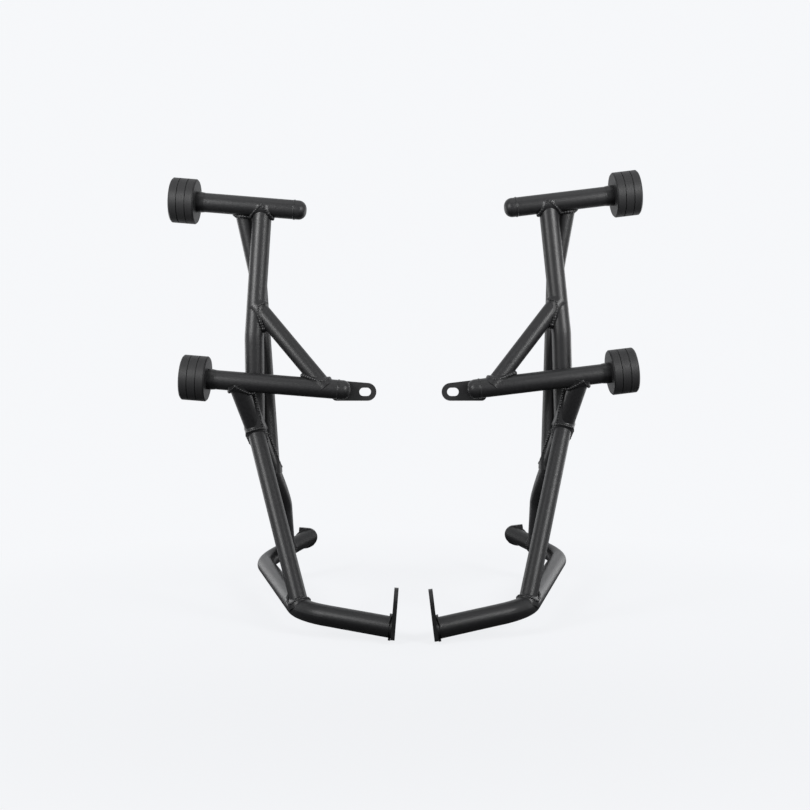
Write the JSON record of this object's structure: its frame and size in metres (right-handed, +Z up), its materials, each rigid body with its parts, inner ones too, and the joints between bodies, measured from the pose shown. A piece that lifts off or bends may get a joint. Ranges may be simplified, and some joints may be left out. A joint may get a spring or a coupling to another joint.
{
  "type": "motorcycle crash bars",
  "caption": "Pair of black tubular crash bars that bolt to a motorcycle's frame and take a fall on round nylon sliders.",
  "frame": {"origin": "halfway between the centres of the two tab slots, in the tabs' middle plane", "axes": "+X from the left bar to the right bar as seen from the front, +Y to the rear along both slots' axes, +Z up"},
  "size_m": [0.6238, 0.482, 0.5922],
  "materials": {
    "powder_coat": "satin black powder coat with a fine texture",
    "black_nylon": "turned black nylon with fine tool marks",
    "bolt_steel": "black oxide",
    "washer_steel": "zinc plated",
    "plug_black": "satin black"
  },
  "bodies": {
    "root": {"left_top_stub": "powder_coat", "left_top_cap": "powder_coat", "left_mid_stub": "powder_coat", "left_mid_cap": "powder_coat", "left_front_upright": "powder_coat", "left_rear_upright": "powder_coat", "left_brace": "powder_coat", "left_sweep_tube": "powder_coat", "left_front_leg": "powder_coat", "left_loop_tube": "powder_coat", "left_slot_tab": "powder_coat", "left_front_plate": "powder_coat", "left_rear_flange": "powder_coat", "left_top_end_plug": "plug_black", "left_mid_end_plug": "plug_black", "left_top_slider": "black_nylon", "left_mid_slider": "black_nylon", "left_slider_bolts": "bolt_steel", "left_slider_washers": "washer_steel", "left_front_upright_welds": "powder_coat", "left_front_foot_weld": "powder_coat", "left_rear_top_weld": "powder_coat", "left_rear_foot_weld": "powder_coat", "left_brace_welds": "powder_coat", "left_sweep_welds": "powder_coat", "left_leg_welds": "powder_coat", "left_plate_welds": "powder_coat", "left_end_welds": "powder_coat", "right_top_stub": "powder_coat", "right_top_cap": "powder_coat", "right_mid_stub": "powder_coat", "right_mid_cap": "powder_coat", "right_front_upright": "powder_coat", "right_rear_upright": "powder_coat", "right_brace": "powder_coat", "right_sweep_tube": "powder_coat", "right_front_leg": "powder_coat", "right_loop_tube": "powder_coat", "right_slot_tab": "powder_coat", "right_front_plate": "powder_coat", "right_rear_flange": "powder_coat", "right_top_end_plug": "plug_black", "right_mid_end_plug": "plug_black", "right_top_slider": "black_nylon", "right_mid_slider": "black_nylon", "right_slider_bolts": "bolt_steel", "right_slider_washers": "washer_steel", "right_front_upright_welds": "powder_coat", "right_front_foot_weld": "powder_coat", "right_rear_top_weld": "powder_coat", "right_rear_foot_weld": "powder_coat", "right_brace_welds": "powder_coat", "right_sweep_welds": "powder_coat", "right_leg_welds": "powder_coat", "right_plate_welds": "powder_coat", "right_end_welds": "powder_coat"}
  },
  "joints": []
}
